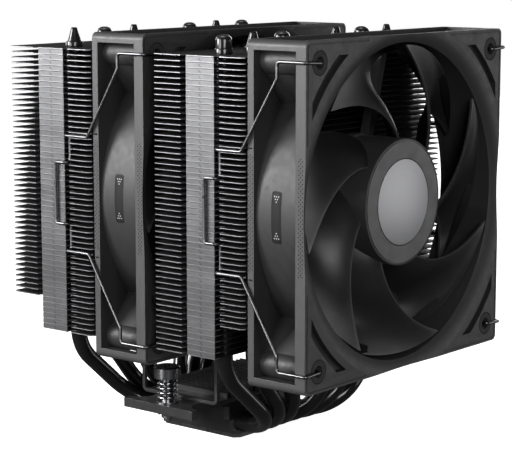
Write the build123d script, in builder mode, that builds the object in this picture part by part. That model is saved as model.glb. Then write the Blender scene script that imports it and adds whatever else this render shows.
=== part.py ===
from build123d import *

import os
from math import cos, radians, sin

# Twin-tower air cooler for a computer processor: a copper cold plate and an aluminium
# block hold six U-shaped heat pipes, which carry two stacks of fins. One 120 mm fan
# stands in front of the first stack and one between the stacks, each held by two wire
# clips. Millimetres. The origin is the centre of the cold plate's underside, +Z is up
# and the air blows towards +Y.

# ---- fans ----
FAN_SIZE = 120.0
FAN_DEPTH = 25.0
FAN_BOTTOM_Z = 33.6
FRONT_FAN_Y = -81.9
FAN_SPACING = 73.3
FAN_CENTRE_Z = FAN_BOTTOM_Z + FAN_SIZE / 2
FRONT_FLANGE = 4.3
REAR_FLANGE = 2.7
FRAME_CORNER_R = 2.2
COLUMN = 3.6
DUCT_R = 57.2
MOUTH_R = 65.0
MOUTH_DEPTH = 2.4
BARREL_R = 58.9
LIP_R = 65.7
POCKET_R = 69.0
POCKET_DEPTH = 2.2
BORDER_INSET = 0.9
HOLE_OFFSET = 52.5
HOLE_R = 2.15
POST_R = 4.7
PAD_R = 4.0
PAD_SEAT_R = 4.25
PAD_PROUD = 1.6

# ---- fan rotor and motor, depths from the frame's front face ----
HUB_R = 23.0
HUB_FRONT = 2.3
HUB_REAR = 19.8
HUB_WALL = 1.7
BADGE_R = 15.65
BLADES = 7
BLADE_TIP_R = 56.2
BLADE_TIP_ANGLE = -13.7
BLADE_SWEEP = 49.0
BLADE_CHORD_ANGLE = 31.0
CHORD_WAIST_R = 38.0
CHORD_GROWTH = 0.12
CHORD_LIMIT = 50.0
SHAFT_R = 1.5
BEARING_R = 3.5
TUBE_R = 5.0
MOTOR_DISC_FRONT = 21.3
STRUTS = 4
STRUT_ANGLE = 75.0

# ---- fin stacks ----
TOWER_WIDTH = 120.0
TOWER_DEPTH = 42.0
FRONT_TOWER_Y = -54.9
REAR_TOWER_Y = 18.4
FINS = 53
FIN_PITCH = 2.04
FIN_THICKNESS = 0.4
FIN_BOTTOM_Z = 40.7
SHORT_FINS = 6
GROOVE_START, GROOVE_END, GROOVE_IN = 10.7, 13.1, 2.9
NOTCH_START, NOTCH_END, NOTCH_IN = 26.0, 28.6, 5.6
FIN_TOP_Z = FIN_BOTTOM_Z + (FINS - 1) * FIN_PITCH + FIN_THICKNESS

# ---- heat pipes ----
PIPE_R = 3.0
PIPE_ROW_Y = 36.7
PIPE_X = [-48.75, -32.5, -16.25, 16.25, 32.5, 48.75]
PIPE_PITCH_BASE = 6.8
PIPE_BASE_Z = 5.0
PIPE_KNEE_Z = 32.6
PIPE_BEND_R = 17.0
PIPE_GAP = 0.06

# ---- base ----
PLATE_X, PLATE_Y, PLATE_T = 42.0, 38.3, 1.4
BLOCK_FOOT_TOP, BLOCK_Y, BLOCK_TOP = 2.8, 35.0, 6.6
CLAMP_Y, CLAMP_TOP = 28.0, 11.3
BAR_LENGTH, EAR_WIDTH, BAR_WIDTH, BAR_T = 89.0, 34.4, 21.4, 3.5
EAR_LENGTH, EAR_SCOOP_R = 3.2, 6.5
BAR_TOP = CLAMP_TOP + BAR_T
SCREW_X = 39.0
BASE_FIN_PITCH, BASE_FIN_T, BASE_FIN_H = 2.4, 0.9, 2.0
BASE_FINS, BASE_FIN_FLOOR = 21, 1.0
BRACKET_X, BRACKET_W, BRACKET_T = 31.0, 1.3, 1.3
BRACKET_Y, BRACKET_TOP = 18.95, 40.4

# ---- spring screws ----
CAP_R, CAP_BOTTOM, CAP_TOP = 5.0, 24.1, 28.7
STEM_R, STEM_BOTTOM = 2.25, 8.9
TIP_R, TIP_BOTTOM = 1.5, 7.4
RING_Z, RING_T = 10.3, 0.5
SPRING_WIRE_R, SPRING_R, SPRING_TURNS = 0.5, 3.35, 4.25
WASHER_R, WASHER_T = 4.3, 0.5

# ---- wire clips ----
WIRE_R = 0.6
WIRE_SINK = 2.75
WIRE_SIDE_GAP = 0.35


def keep(piece, name):
    """Label a finished piece and write it to its own STEP file."""
    piece.part.label = name
    export_step(piece.part, f"parts/{name}.step")


def face_plane(y):
    """A plane square to the fan axis at depth y, with local x along X and y along Z."""
    return Plane((0, y, FAN_CENTRE_Z), x_dir=(1, 0, 0), z_dir=(0, -1, 0))


def axial_plane(y):
    """A plane through the fan axis, with local x the radius and local y the depth."""
    return Plane((0, y, FAN_CENTRE_Z), x_dir=(1, 0, 0), z_dir=(0, 0, 1))


def fan_axis(y):
    return Axis((0, y, FAN_CENTRE_Z), (0, 1, 0))


def outline(points, y):
    """The sketch of a closed outline of (radius, depth) points, ready to be revolved."""
    with BuildSketch(axial_plane(y)) as sketch:
        with BuildLine():
            Polyline(*points, close=True)
        make_face()
    return sketch.sketch


# ======================= fan =======================


def fan_frame(y, name):
    corners = [(sx * HOLE_OFFSET, sz * HOLE_OFFSET) for sx in (-1, 1) for sz in (-1, 1)]
    with BuildPart() as frame:
        # Two square flanges joined by the round barrel of the duct.
        with BuildSketch(face_plane(y)):
            RectangleRounded(FAN_SIZE, FAN_SIZE, FRAME_CORNER_R)
        extrude(amount=-FRONT_FLANGE)
        with BuildSketch(face_plane(y + FAN_DEPTH - REAR_FLANGE)):
            RectangleRounded(FAN_SIZE, FAN_SIZE, FRAME_CORNER_R)
        extrude(amount=-REAR_FLANGE)
        with BuildSketch(face_plane(y + 0.5)):
            Circle(BARREL_R)
            # Corner posts around the screw holes, each with a web to the barrel.
            with Locations(*corners):
                Circle(POST_R)
            for quarter in range(4):
                with Locations(Rotation(0, 0, 90 * quarter)):
                    Polygon((57.1, 52.0), (52.0, 57.1), (36.8, 45.2), (30, 30), (45.2, 36.8), align=None)
            # Square columns at the corners, level with the flanges' edges.
            with GridLocations(FAN_SIZE - COLUMN, FAN_SIZE - COLUMN, 2, 2):
                Rectangle(COLUMN, COLUMN)
            RectangleRounded(FAN_SIZE, FAN_SIZE, FRAME_CORNER_R, mode=Mode.INTERSECT)
        extrude(amount=-(FAN_DEPTH - 1.0))
        # The duct, flared at its mouth. The flare is wider than the square and cuts its edges.
        with BuildSketch(axial_plane(y)):
            with BuildLine():
                Polyline((DUCT_R, MOUTH_DEPTH), (DUCT_R, 21.5), (DUCT_R + 0.9, FAN_DEPTH + 1),
                         (0, FAN_DEPTH + 1), (0, -1), (MOUTH_R, -1), (MOUTH_R, 0))
                ThreePointArc((MOUTH_R, 0), (MOUTH_R - 4.6, 0.6), (DUCT_R, MOUTH_DEPTH))
            make_face()
        revolve(axis=fan_axis(y), mode=Mode.SUBTRACT)
        # Crescent pockets in the front flange outside the duct's lip.
        with BuildSketch(face_plane(y)):
            Circle(POCKET_R)
            Rectangle(113.0, 109.2, mode=Mode.INTERSECT)
            Circle(LIP_R, mode=Mode.SUBTRACT)
        extrude(amount=-POCKET_DEPTH, mode=Mode.SUBTRACT)
        # A fine border line round each corner plate.
        line_out = FAN_SIZE - 2 * BORDER_INSET
        line_in = line_out - 0.8
        with BuildSketch(face_plane(y)):
            RectangleRounded(line_out, line_out, FRAME_CORNER_R - 0.7)
            RectangleRounded(line_in, line_in, FRAME_CORNER_R - 1.1, mode=Mode.SUBTRACT)
            Rectangle(50, FAN_SIZE, mode=Mode.SUBTRACT)
            Rectangle(FAN_SIZE, 50, mode=Mode.SUBTRACT)
        extrude(amount=-0.3, mode=Mode.SUBTRACT)
        # Screw holes, with a seat for a rubber pad at both ends.
        with BuildSketch(face_plane(y)):
            with Locations(*corners):
                Circle(HOLE_R)
        extrude(amount=-FAN_DEPTH, mode=Mode.SUBTRACT)
        for depth in (0.0, FAN_DEPTH - 0.8):
            with BuildSketch(face_plane(y + depth)):
                with Locations(*corners):
                    Circle(PAD_SEAT_R)
            extrude(amount=-0.8, mode=Mode.SUBTRACT)
        # Motor disc, held by struts behind the blades, and the bearing tube on it.
        with BuildSketch(face_plane(y + MOTOR_DISC_FRONT)):
            Circle(HUB_R + 0.5)
            strut_out = BARREL_R - 0.8
            with PolarLocations((strut_out + 20) / 2, STRUTS, start_angle=STRUT_ANGLE):
                Rectangle(strut_out - 20, 3.4)
        extrude(amount=-(FAN_DEPTH - MOTOR_DISC_FRONT))
        tube = outline([(0, 9.5), (TUBE_R, 9.5), (TUBE_R, 22.0), (0, 22.0)], y)
        revolve(tube, axis=fan_axis(y))
        bore = outline([(0, 9.0), (BEARING_R + 0.02, 9.0), (BEARING_R + 0.02, 21.05), (3.2, 21.05),
                        (3.2, 24.0), (0, 24.0)], y)
        revolve(bore, axis=fan_axis(y), mode=Mode.SUBTRACT)
        # Shallow seat for the label and a notch where the fan's lead would leave.
        with BuildSketch(face_plane(y + FAN_DEPTH - 0.3)):
            Circle(20.5)
        extrude(amount=-0.3, mode=Mode.SUBTRACT)
        with BuildSketch(face_plane(y + FAN_DEPTH - REAR_FLANGE)):
            with Locations((FAN_SIZE / 2, -34)):
                Rectangle(2.4, 4.0)
        extrude(amount=-REAR_FLANGE, mode=Mode.SUBTRACT)
    keep(frame, name)


def fan_pads(y, name):
    """Eight rubber rings: one in each end of each corner hole. The rear ones stand proud."""
    corners = [(sx * HOLE_OFFSET, sz * HOLE_OFFSET) for sx in (-1, 1) for sz in (-1, 1)]
    with BuildPart() as pads:
        for depth, thickness in ((0.0, 0.75), (FAN_DEPTH - 0.75, 0.75 + PAD_PROUD)):
            with BuildSketch(face_plane(y + depth)):
                with Locations(*corners):
                    Circle(PAD_R)
                    Circle(HOLE_R, mode=Mode.SUBTRACT)
            extrude(amount=-thickness)
    keep(pads, name)


def blade_section(y, radius):
    """Sketch the blade's profile on a plane square to the radius, at the blade's own sweep."""
    reach = min(radius, BLADE_TIP_R)
    widening = CHORD_GROWTH * max(0.0, reach - CHORD_WAIST_R) ** 2
    root = 0.2 * max(0.0, 31.0 - reach) ** 1.5
    half = min(CHORD_LIMIT, BLADE_CHORD_ANGLE + widening + root) / 2
    inward = max(0.0, (BLADE_TIP_R - radius) / (BLADE_TIP_R - HUB_R))
    front_angle = BLADE_TIP_ANGLE - BLADE_SWEEP * inward ** 1.12
    middle = radians(front_angle - half)
    width = radius * sin(radians(half))
    offset = radius * cos(radians(half))
    front = 2.7 + 2.6 * inward ** 1.5
    rear = 19.2 - 1.6 * inward
    bulge = 2.2 - 0.8 * inward
    thick = 1.3 + 0.5 * inward
    edge = 0.45
    centre = (front + rear) / 2 - bulge
    origin = (offset * cos(middle), y, FAN_CENTRE_Z + offset * sin(middle))
    plane = Plane(origin, x_dir=(-sin(middle), 0, cos(middle)), z_dir=(-cos(middle), 0, -sin(middle)))
    with BuildSketch(plane) as sketch:
        with BuildLine():
            ThreePointArc((width, front - edge), (0, centre - thick / 2), (-width, rear - edge))
            Line((-width, rear - edge), (-width, rear + edge))
            ThreePointArc((-width, rear + edge), (0, centre + thick / 2), (width, front + edge))
            Line((width, front + edge), (width, front - edge))
        make_face()
    return sketch.sketch


def fan_impeller(y, name):
    with BuildPart() as blade:
        loft([blade_section(y, radius) for radius in (21.5, 29.0, 37.0, 44.0, 50.0, 56.2, 66.0)])
        swept = outline([(HUB_R - 0.8, 0), (BLADE_TIP_R, 0), (BLADE_TIP_R, FAN_DEPTH),
                         (HUB_R - 0.8, FAN_DEPTH)], y)
        revolve(swept, axis=fan_axis(y), mode=Mode.INTERSECT)
    with BuildPart() as impeller:
        # Hub cup, with a seat for the badge in front and a boss for the shaft behind.
        inner = HUB_R - HUB_WALL
        cap = HUB_FRONT + 1.8
        seat = HUB_FRONT + 0.45
        hub = outline([(0, seat), (BADGE_R + 0.05, seat), (BADGE_R + 0.05, HUB_FRONT),
                       (HUB_R - 0.5, HUB_FRONT), (HUB_R, HUB_FRONT + 0.5), (HUB_R, HUB_REAR),
                       (inner, HUB_REAR), (inner, cap), (4.1, cap), (4.1, 8.0), (SHAFT_R + 0.02, 8.0),
                       (SHAFT_R + 0.02, cap + 0.3), (0, cap + 0.3)], y)
        revolve(hub, axis=fan_axis(y))
        for number in range(BLADES):
            add(blade.part.rotate(fan_axis(y), -number * 360 / BLADES))
    keep(impeller, name)


def turned_piece(points, y, name):
    """A solid of revolution about the fan's axis, from its (radius, depth) outline."""
    with BuildPart() as piece:
        revolve(outline(points, y), axis=fan_axis(y))
    keep(piece, name)


def stator_core(y, name):
    """Laminated core with four poles."""
    with BuildPart() as core:
        with BuildSketch(face_plane(y + 10.5)):
            Circle(17.4)
            Circle(15.4, mode=Mode.SUBTRACT)
            with PolarLocations(16.4, 4, start_angle=45):
                Rectangle(6.0, 5.0, mode=Mode.SUBTRACT)
            Circle(7.6)
            with PolarLocations(11.5, 4):
                Rectangle(9.0, 3.6)
            Circle(TUBE_R + 0.04, mode=Mode.SUBTRACT)
        extrude(amount=-6.0)
    keep(core, name)


def stator_coils(y, name):
    """Four copper windings, one round each pole."""
    with BuildPart() as coils:
        for quarter in range(4):
            across, up = cos(radians(90 * quarter)), sin(radians(90 * quarter))
            origin = (8.1 * across, y + 13.5, FAN_CENTRE_Z + 8.1 * up)
            with BuildSketch(Plane(origin, x_dir=(-up, 0, across), z_dir=(across, 0, up))):
                RectangleRounded(7.6, 9.0, 1.5)
                Rectangle(3.7, 6.1, mode=Mode.SUBTRACT)
            extrude(amount=6.6)
    keep(coils, name)


def wire_clip(y, side, name):
    """Bent wire from one corner hole to the other, hooked into the fins' groove halfway."""
    out = FAN_SIZE / 2 + WIRE_SIDE_GAP + WIRE_R
    groove = FRONT_TOWER_Y - FRONT_FAN_Y + (GROOVE_START + GROOVE_END) / 2
    sunk = out - WIRE_SINK
    front = -(WIRE_R + 0.4)
    top, knee, shoulder, loop = HOLE_OFFSET, 47.2, 21.6, 11.5
    # One half of the wire, from the hook in the hole to the finger loop: (across, depth, height).
    half = [(HOLE_OFFSET, 1.4, top), (HOLE_OFFSET, front, top), (out, front, top + 0.4), (out, 11.5, top + 0.4),
            (out, 11.5, knee), (out, 27.2, shoulder), (out, groove, shoulder), (sunk, groove, shoulder),
            (sunk, groove, loop), (out, groove, loop), (out, groove + 5.1, loop)]
    bends = [1.3, 1.3, 1.5, 1.5, 1.5, 1.3, 1.3, 1.3, 1.3, 1.2]
    whole = half + [(a, d, -h) for a, d, h in reversed(half)]
    points = [(side * a, y + d, FAN_CENTRE_Z + h) for a, d, h in whole]
    with BuildPart() as clip:
        with BuildLine() as route:
            FilletPolyline(*points, radius=bends + list(reversed(bends)))
        with BuildSketch(Plane(route.line @ 0, z_dir=route.line % 0)):
            Circle(WIRE_R)
        sweep()
    keep(clip, name)


def fan(y, prefix):
    fan_frame(y, f"{prefix}_fan_frame")
    fan_pads(y, f"{prefix}_fan_corner_pads")
    fan_impeller(y, f"{prefix}_fan_impeller")
    badge_back = HUB_FRONT + 0.42
    turned_piece([(0, HUB_FRONT - 0.1), (BADGE_R - 0.2, HUB_FRONT - 0.1), (BADGE_R, HUB_FRONT + 0.1),
                  (BADGE_R, badge_back), (0, badge_back)], y, f"{prefix}_fan_hub_badge")
    cap, inner = HUB_FRONT + 1.85, HUB_R - HUB_WALL - 0.05
    turned_piece([(4.15, cap), (inner, cap), (inner, 19.2), (inner - 1.0, 19.2), (inner - 1.0, cap + 1.0),
                  (4.15, cap + 1.0)], y, f"{prefix}_fan_rotor_cup")
    turned_piece([(18.1, 6.5), (20.2, 6.5), (20.2, 18.6), (18.1, 18.6)], y, f"{prefix}_fan_magnet")
    groove = SHAFT_R - 0.3
    turned_piece([(0, 4.5), (SHAFT_R, 4.5), (SHAFT_R, 21.5), (groove, 21.5), (groove, 22.0), (SHAFT_R, 22.0),
                  (SHAFT_R, 22.6), (SHAFT_R - 0.3, 22.9), (0, 22.9)], y, f"{prefix}_fan_shaft")
    turned_piece([(groove + 0.03, 21.53), (2.8, 21.53), (2.8, 21.97), (groove + 0.03, 21.97)], y,
                 f"{prefix}_fan_lock_ring")
    bore = SHAFT_R + 0.04
    turned_piece([(bore, 10.0), (BEARING_R, 10.0), (BEARING_R, 21.0), (bore, 21.0)], y,
                 f"{prefix}_fan_bearing")
    stator_core(y, f"{prefix}_fan_stator_core")
    stator_coils(y, f"{prefix}_fan_coils")
    turned_piece([(TUBE_R + 0.1, 20.1), (18.5, 20.1), (18.5, 21.25), (TUBE_R + 0.1, 21.25)], y,
                 f"{prefix}_fan_motor_board")
    turned_piece([(0, FAN_DEPTH - 0.27), (20.2, FAN_DEPTH - 0.27), (20.2, FAN_DEPTH - 0.05),
                  (0, FAN_DEPTH - 0.05)], y, f"{prefix}_fan_label")
    wire_clip(y, -1, f"{prefix}_fan_clip_left")
    wire_clip(y, 1, f"{prefix}_fan_clip_right")


# ======================= fin stacks =======================


def fin_outline(start, end):
    """Half outline of a fin for x > 0, from depth start to depth end, as (x, depth) points."""
    half = TOWER_WIDTH / 2
    points = [(0, start)]
    if start < GROOVE_START:
        points += [(half - 1.2, start), (half, start + 1.2), (half, GROOVE_START),
                   (half - GROOVE_IN, GROOVE_START), (half - GROOVE_IN, GROOVE_END)]
    else:
        points += [(half - GROOVE_IN, start)]
    points += [(half, GROOVE_END), (half, NOTCH_START)]
    if end > NOTCH_END:
        points += [(half - NOTCH_IN, NOTCH_START + 0.9), (half - NOTCH_IN, NOTCH_START + 1.5), (half, NOTCH_END),
                   (half, end - 1.2), (half - 1.2, end)]
    points += [(0, end)]
    return points


def fin_sheets(y, pipe_y, heights, start, end):
    """The sketch of the fins at the given heights, each with its pipe holes."""
    right = fin_outline(start, end)
    left = [(-x, d) for x, d in reversed(right[1:-1])]
    with BuildSketch(*[Plane.XY.offset(z) for z in heights]) as sheets:
        with BuildLine():
            Polyline(*[(x, y + d) for x, d in right + left], close=True)
        make_face()
        with Locations(*[(x, pipe_y) for x in PIPE_X]):
            Circle(PIPE_R + PIPE_GAP, mode=Mode.SUBTRACT)
    return sheets.sketch


def fin_stack(y, pipe_y, short_start, short_end, name):
    levels = [FIN_BOTTOM_Z + number * FIN_PITCH for number in range(FINS)]
    with BuildPart() as stack:
        extrude(fin_sheets(y, pipe_y, levels[SHORT_FINS:], 0.0, TOWER_DEPTH), amount=FIN_THICKNESS)
        extrude(fin_sheets(y, pipe_y, levels[:SHORT_FINS], short_start, short_end), amount=FIN_THICKNESS)
        # Edge tabs folded up towards the fin above, which set the spacing.
        tab_length = NOTCH_START - GROOVE_END
        with BuildSketch(*[Plane.XY.offset(z + FIN_THICKNESS) for z in levels[:-1]]):
            for side in (-1, 1):
                with Locations((side * (TOWER_WIDTH - FIN_THICKNESS) / 2, y + GROOVE_END + tab_length / 2)):
                    Rectangle(FIN_THICKNESS, tab_length)
        extrude(amount=FIN_PITCH - FIN_THICKNESS - 0.06)
    keep(stack, name)


# ======================= heat pipes =======================


def pipe_tip(x, y, tapered):
    """The outline of a pipe's closed end above the top fin: a cone or a dome, on a collar."""
    low = FIN_TOP_Z + 0.1
    if tapered:
        rise = [(3.25, 0), (3.25, 1.9), (2.65, 1.9), (1.25, 6.7), (0.95, 7.0), (0, 7.1)]
    else:
        rise = [(3.25, 0), (3.25, 1.9), (2.95, 1.9), (2.95, 5.0), (2.6, 5.8), (1.8, 6.4), (0.9, 6.7), (0, 6.8)]
    with BuildSketch(Plane((x, y, low), x_dir=(1, 0, 0), z_dir=(0, -1, 0))) as tip:
        with BuildLine():
            Polyline((0, 0), *rise, close=True)
        make_face()
    return tip.sketch


def heat_pipe(index, name):
    """One pipe: down through the front stack, along the base and up through the rear stack."""
    top_x = PIPE_X[index]
    base_x = (index - 2.5) * PIPE_PITCH_BASE
    top = FIN_TOP_Z + 0.1
    half = [(top_x, -PIPE_ROW_Y, top), (top_x, -PIPE_ROW_Y, PIPE_KNEE_Z), (base_x, -PIPE_ROW_Y, PIPE_BASE_Z)]
    points = half + [(x, -y, z) for x, y, z in reversed(half)]
    with BuildPart() as pipe:
        with BuildLine() as route:
            FilletPolyline(*points, radius=PIPE_BEND_R)
        with BuildSketch(Plane(route.line @ 0, z_dir=route.line % 0)):
            Circle(PIPE_R)
        sweep()
        for y, tapered in ((-PIPE_ROW_Y, index % 2 == 1), (PIPE_ROW_Y, index % 2 == 0)):
            revolve(pipe_tip(top_x, y, tapered), axis=Axis((top_x, y, 0), (0, 0, 1)))
    keep(pipe, name)


# ======================= base =======================


def pipe_bores():
    """The sketch of the six bores that carry the pipes through the base along Y."""
    with BuildSketch(Plane.XZ.offset(PLATE_Y)) as bores:
        with Locations(*[((index - 2.5) * PIPE_PITCH_BASE, PIPE_BASE_Z) for index in range(6)]):
            Circle(PIPE_R + PIPE_GAP)
    return bores.sketch


def cold_plate():
    """Polished copper plate that touches the processor."""
    with BuildPart() as plate:
        with BuildSketch() as face:
            Rectangle(PLATE_X, PLATE_Y)
            chamfer(face.vertices(), 2.0)
        extrude(amount=PLATE_T)
    keep(plate, "cold_plate")


def base_block():
    """Block over the cold plate, grooved for the pipes, with a wider foot."""
    with BuildPart() as block:
        for depth, low, high in ((PLATE_Y, PLATE_T, BLOCK_FOOT_TOP), (BLOCK_Y, BLOCK_FOOT_TOP, BLOCK_TOP)):
            with BuildSketch(Plane.XY.offset(low)) as layer:
                Rectangle(PLATE_X, depth)
                chamfer(layer.vertices(), 2.0)
            extrude(amount=high - low)
        extrude(pipe_bores(), amount=-2 * PLATE_Y, mode=Mode.SUBTRACT)
    keep(block, "base_block")


def mounting_bar():
    """Cross bar with a wide ear at each end, drilled for the spring screws."""
    with BuildPart() as bar:
        with BuildSketch(Plane.XY.offset(CLAMP_TOP)):
            Rectangle(BAR_LENGTH, BAR_WIDTH)
            for side in (-1, 1):
                with Locations((side * (BAR_LENGTH - EAR_LENGTH - EAR_SCOOP_R) / 2, 0)):
                    Rectangle(EAR_LENGTH + EAR_SCOOP_R, EAR_WIDTH)
            # Concave corners where each ear narrows to the bar.
            scoop_x = BAR_LENGTH / 2 - EAR_LENGTH - EAR_SCOOP_R
            with GridLocations(2 * scoop_x, EAR_WIDTH, 2, 2):
                Circle(EAR_SCOOP_R, mode=Mode.SUBTRACT)
        extrude(amount=BAR_T)
        with Locations(*[(sx * SCREW_X, 0, CLAMP_TOP) for sx in (-1, 1)]):
            Hole(STEM_R + 0.1, depth=10)
        with BuildSketch(Plane.XY.offset(CLAMP_TOP)):
            with GridLocations(24.0, 13.0, 2, 2):
                Circle(1.6)
        extrude(amount=BAR_T, mode=Mode.SUBTRACT)
    keep(bar, "mounting_bar")


def bar_screws():
    """Four short screws that fix the bar to the clamp."""
    with BuildPart() as screws:
        with BuildSketch(Plane.XY.offset(CLAMP_TOP)):
            with GridLocations(24.0, 13.0, 2, 2):
                Circle(1.5)
        extrude(amount=BAR_T - 0.2)
        with BuildSketch(Plane.XY.offset(CLAMP_TOP - 3.0)):
            with GridLocations(24.0, 13.0, 2, 2):
                Circle(1.2)
        extrude(amount=3.0)
    keep(screws, "bar_screws")


def pipe_clamp():
    """Upper block that presses the pipes down, tapped for the bar's screws."""
    with BuildPart() as clamp:
        with BuildSketch(Plane.XY.offset(BLOCK_TOP)):
            Rectangle(PLATE_X, CLAMP_Y)
        extrude(amount=CLAMP_TOP - BLOCK_TOP)
        chamfer(clamp.edges().filter_by(Axis.Z), 1.5)
        extrude(pipe_bores(), amount=-2 * PLATE_Y, mode=Mode.SUBTRACT)
        with BuildSketch(Plane.XY.offset(CLAMP_TOP - 3.1)):
            with GridLocations(24.0, 13.0, 2, 2):
                Circle(1.22)
        extrude(amount=3.2, mode=Mode.SUBTRACT)
    keep(clamp, "pipe_clamp")


def base_fins():
    """Low finned plate on top of the bar, its fins along the airflow."""
    width = 2 * (BRACKET_X - 0.1)
    low = BAR_TOP + 0.02
    with BuildPart() as fins:
        with BuildSketch(Plane.XY.offset(low)):
            Rectangle(width, 2 * (BRACKET_Y - 1.5))
        extrude(amount=BASE_FIN_FLOOR)
        with BuildSketch(Plane.XY.offset(low + BASE_FIN_FLOOR)):
            with GridLocations(BASE_FIN_PITCH, 0, BASE_FINS, 1):
                Rectangle(BASE_FIN_T, 2 * (BRACKET_Y - 1.9))
        extrude(amount=BASE_FIN_H)
    keep(fins, "base_fins")


def support_bracket(side, name):
    """U-shaped strip that stands on the bar and carries the two fin stacks."""
    low = BAR_TOP + 0.02
    x = side * BRACKET_X if side > 0 else side * BRACKET_X - BRACKET_W
    with BuildPart() as bracket:
        with BuildSketch(Plane((x, 0, 0), x_dir=(0, 1, 0), z_dir=(1, 0, 0))):
            with Locations((0, (low + BRACKET_TOP) / 2)):
                Rectangle(2 * BRACKET_Y, BRACKET_TOP - low)
            with Locations((0, (low + BRACKET_TOP) / 2 + BRACKET_T)):
                Rectangle(2 * (BRACKET_Y - BRACKET_T), BRACKET_TOP - low, mode=Mode.SUBTRACT)
        extrude(amount=BRACKET_W)
        corners = bracket.edges().filter_by(Axis.X).group_by(Axis.Z)
        fillet(corners[0], 2.4)
        inner = [edge for edge in bracket.edges().filter_by(Axis.X)
                 if abs(edge.center().Z - low - BRACKET_T) < 0.05]
        fillet(inner, 1.1)
    keep(bracket, name)


# ======================= spring screws =======================


def spring_screw(side, name):
    """Captive mounting screw: slotted cap, smooth stem with a ring groove, threaded tip."""
    x = side * SCREW_X
    ring_top = RING_Z + RING_T + 0.05
    neck = STEM_R - 0.45
    with BuildPart() as screw:
        with BuildSketch(Plane((x, 0, 0), x_dir=(1, 0, 0), z_dir=(0, -1, 0))):
            with BuildLine():
                Polyline((0, TIP_BOTTOM), (TIP_R - 0.3, TIP_BOTTOM), (TIP_R, TIP_BOTTOM + 0.3),
                         (TIP_R, STEM_BOTTOM), (STEM_R, STEM_BOTTOM), (STEM_R, RING_Z - 0.05),
                         (neck, RING_Z - 0.05), (neck, ring_top), (STEM_R, ring_top), (STEM_R, CAP_BOTTOM),
                         (CAP_R - 0.3, CAP_BOTTOM), (CAP_R, CAP_BOTTOM + 0.3), (CAP_R, CAP_TOP - 0.5),
                         (CAP_R - 0.5, CAP_TOP), (0, CAP_TOP), close=True)
            make_face()
        revolve(axis=Axis((x, 0, 0), (0, 0, 1)))
        # Cross recess in the cap.
        with BuildSketch(Plane.XY.offset(CAP_TOP)):
            with Locations((x, 0)):
                Rectangle(4.6, 1.1)
                Rectangle(1.1, 4.6)
        extrude(amount=-1.8, mode=Mode.SUBTRACT)
    keep(screw, name)


def retaining_ring(side, name):
    """Open ring in the screw's groove, which keeps the screw in its ear."""
    with BuildPart() as ring:
        with BuildSketch(Plane.XY.offset(RING_Z)):
            with Locations((side * SCREW_X, 0)):
                Circle(3.7)
                Circle(STEM_R - 0.4, mode=Mode.SUBTRACT)
            with Locations((side * (SCREW_X + 3), 0)):
                Rectangle(4.0, 2.0, mode=Mode.SUBTRACT)
        extrude(amount=RING_T)
    keep(ring, name)


def compression_spring(side, name):
    """Coil spring between the washer on the ear and the screw's cap."""
    low = BAR_TOP + WASHER_T + 0.1 + SPRING_WIRE_R
    high = CAP_BOTTOM - 0.05 - SPRING_WIRE_R
    height = high - low
    with BuildPart() as spring:
        with BuildLine(Plane((side * SCREW_X, 0, low))) as coil:
            Helix(height / SPRING_TURNS, height, SPRING_R)
        with BuildSketch(Plane(coil.line @ 0, z_dir=coil.line % 0)):
            Circle(SPRING_WIRE_R)
        sweep(is_frenet=True)
    keep(spring, name)


def spring_washer(side, name):
    with BuildPart() as washer:
        with BuildSketch(Plane.XY.offset(BAR_TOP + 0.03)):
            with Locations((side * SCREW_X, 0)):
                Circle(WASHER_R)
                Circle(STEM_R + 0.15, mode=Mode.SUBTRACT)
        extrude(amount=WASHER_T)
    keep(washer, name)


# ======================= assembly =======================

os.makedirs("parts", exist_ok=True)

cold_plate()
base_block()
pipe_clamp()
mounting_bar()
bar_screws()
base_fins()
for side, word in ((-1, "left"), (1, "right")):
    support_bracket(side, f"support_bracket_{word}")
    spring_screw(side, f"spring_screw_{word}")
    retaining_ring(side, f"retaining_ring_{word}")
    compression_spring(side, f"spring_{word}")
    spring_washer(side, f"spring_washer_{word}")
for index in range(6):
    heat_pipe(index, f"heat_pipe_{index + 1}")
fin_stack(FRONT_TOWER_Y, -PIPE_ROW_Y, GROOVE_END, TOWER_DEPTH, "front_fin_stack")
fin_stack(REAR_TOWER_Y, PIPE_ROW_Y, 0.0, NOTCH_START, "rear_fin_stack")
fan(FRONT_FAN_Y, "front")
fan(FRONT_FAN_Y + FAN_SPACING, "middle")
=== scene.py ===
from math import ceil, cos, pi, radians, sin, sqrt, tan

import bmesh
import bpy
from mathutils import Matrix, Vector
from mathutils.geometry import tessellate_polygon


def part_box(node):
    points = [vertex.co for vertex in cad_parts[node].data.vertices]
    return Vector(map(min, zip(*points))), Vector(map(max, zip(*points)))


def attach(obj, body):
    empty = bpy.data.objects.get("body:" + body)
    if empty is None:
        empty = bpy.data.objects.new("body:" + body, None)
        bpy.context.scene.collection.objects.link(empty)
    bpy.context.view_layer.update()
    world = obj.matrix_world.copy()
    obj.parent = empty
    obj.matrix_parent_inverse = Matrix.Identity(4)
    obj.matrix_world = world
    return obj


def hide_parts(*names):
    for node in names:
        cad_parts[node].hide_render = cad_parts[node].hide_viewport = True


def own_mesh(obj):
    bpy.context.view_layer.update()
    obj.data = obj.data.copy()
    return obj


# The looks of a twin-tower processor cooler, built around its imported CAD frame.
# Shapes are worked out in millimetres in the CAD frame and stored in metres.

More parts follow.
